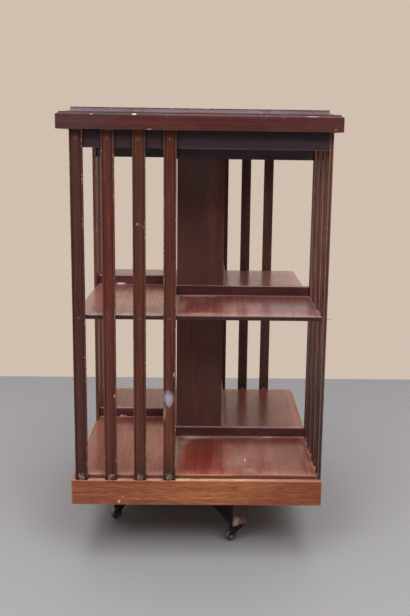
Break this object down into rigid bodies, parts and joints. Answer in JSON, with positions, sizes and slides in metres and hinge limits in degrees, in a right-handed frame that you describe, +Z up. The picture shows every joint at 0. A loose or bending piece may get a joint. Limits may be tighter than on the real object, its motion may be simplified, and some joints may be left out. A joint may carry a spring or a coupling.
{
  "type": "revolving bookcase",
  "caption": "Square two-tier revolving bookcase with slatted sides, a hollow column, a moulded top and a cross base on casters.",
  "frame": {"origin": "on the floor, on the axis that the case turns about", "axes": "+Z up, -Y towards the front, +X to the right seen from the front; the case is at its rest turn"},
  "size_m": [0.48, 0.48, 0.824],
  "materials": {
    "mahogany_top": "satin polished mahogany, worn at the arrises",
    "mahogany_frieze": "dark polished mahogany",
    "mahogany_column": "dark polished mahogany, upright grain",
    "mahogany_shelf": "semi-gloss mahogany, scuffed",
    "mahogany_rail": "faded orange-brown mahogany, satin",
    "mahogany_slat": "polished reddish-brown mahogany",
    "stand_wood": "raw and stained hardwood",
    "steel": "turned steel",
    "brass": "tarnished brass",
    "iron": "black japanned iron",
    "wheel_iron": "black, worn bright on the tread"
  },
  "bodies": {
    "stand": {"cross_bar_lower": "stand_wood", "cross_bar_upper": "stand_wood", "hub_block": "stand_wood", "center_post": "stand_wood", "pivot_pin": "steel", "caster_plates": "iron", "caster_screws": "steel"},
    "case": {"top_board": "mahogany_top", "top_moulding_front": "mahogany_top", "top_moulding_right": "mahogany_top", "top_moulding_back": "mahogany_top", "top_moulding_left": "mahogany_top", "frieze_rail_front": "mahogany_frieze", "frieze_rail_right": "mahogany_frieze", "frieze_rail_back": "mahogany_frieze", "frieze_rail_left": "mahogany_frieze", "top_bearers": "mahogany_frieze", "column_panel_front": "mahogany_column", "column_panel_right": "mahogany_column", "column_panel_back": "mahogany_column", "column_panel_left": "mahogany_column", "bottom_board": "mahogany_shelf", "middle_shelf": "mahogany_shelf", "lower_book_stops": "mahogany_shelf", "upper_book_stops": "mahogany_shelf", "base_rail_front": "mahogany_rail", "base_rail_right": "mahogany_rail", "base_rail_back": "mahogany_rail", "base_rail_left": "mahogany_rail", "slat_front_1": "mahogany_slat", "slat_front_2": "mahogany_slat", "slat_front_3": "mahogany_slat", "slat_front_4": "mahogany_slat", "slat_right_1": "mahogany_slat", "slat_right_2": "mahogany_slat", "slat_right_3": "mahogany_slat", "slat_right_4": "mahogany_slat", "slat_back_2": "mahogany_slat", "slat_back_3": "mahogany_slat", "slat_back_4": "mahogany_slat", "slat_left_1": "mahogany_slat", "slat_left_2": "mahogany_slat", "slat_left_3": "mahogany_slat", "slat_left_4": "mahogany_slat", "bearing_block": "stand_wood", "guide_bush": "stand_wood", "pivot_cup": "steel", "slat_screws": "brass"},
    "caster_1": {"caster_fork_1": "iron", "caster_axle_1": "steel"},
    "wheel_1": {"caster_wheel_1": "wheel_iron"},
    "caster_2": {"caster_fork_2": "iron", "caster_axle_2": "steel"},
    "wheel_2": {"caster_wheel_2": "wheel_iron"},
    "caster_3": {"caster_fork_3": "iron", "caster_axle_3": "steel"},
    "wheel_3": {"caster_wheel_3": "wheel_iron"},
    "caster_4": {"caster_fork_4": "iron", "caster_axle_4": "steel"},
    "wheel_4": {"caster_wheel_4": "wheel_iron"}
  },
  "joints": [
    {"name": "case_revolve", "type": "hinge", "parent": "stand", "child": "case", "pos_m": [0, 0, 0.7758], "axis": [0, 0, 1], "continuous": true},
    {"name": "caster_swivel_1", "type": "hinge", "parent": "stand", "child": "caster_1", "pos_m": [0.07715, -0.15819, 0.034], "axis": [0, 0, 1], "continuous": true},
    {"name": "wheel_spin_1", "type": "hinge", "parent": "caster_1", "child": "wheel_1", "pos_m": [0.06577, -0.15979, 0.0115], "axis": [0.1392, -0.9903, 0], "continuous": true},
    {"name": "caster_swivel_2", "type": "hinge", "parent": "stand", "child": "caster_2", "pos_m": [0.15819, 0.07715, 0.034], "axis": [0, 0, 1], "continuous": true},
    {"name": "wheel_spin_2", "type": "hinge", "parent": "caster_2", "child": "wheel_2", "pos_m": [0.15426, 0.06635, 0.0115], "axis": [0.9397, -0.342, 0], "continuous": true},
    {"name": "caster_swivel_3", "type": "hinge", "parent": "stand", "child": "caster_3", "pos_m": [-0.07715, 0.15819, 0.034], "axis": [0, 0, 1], "continuous": true},
    {"name": "wheel_spin_3", "type": "hinge", "parent": "caster_3", "child": "wheel_3", "pos_m": [-0.06834, 0.16558, 0.0115], "axis": [-0.6428, 0.766, 0], "continuous": true},
    {"name": "caster_swivel_4", "type": "hinge", "parent": "stand", "child": "caster_4", "pos_m": [-0.15819, -0.07715, 0.034], "axis": [0, 0, 1], "continuous": true},
    {"name": "wheel_spin_4", "type": "hinge", "parent": "caster_4", "child": "wheel_4", "pos_m": [-0.16761, -0.08375, 0.0115], "axis": [0.5736, -0.8192, 0], "continuous": true}
  ]
}
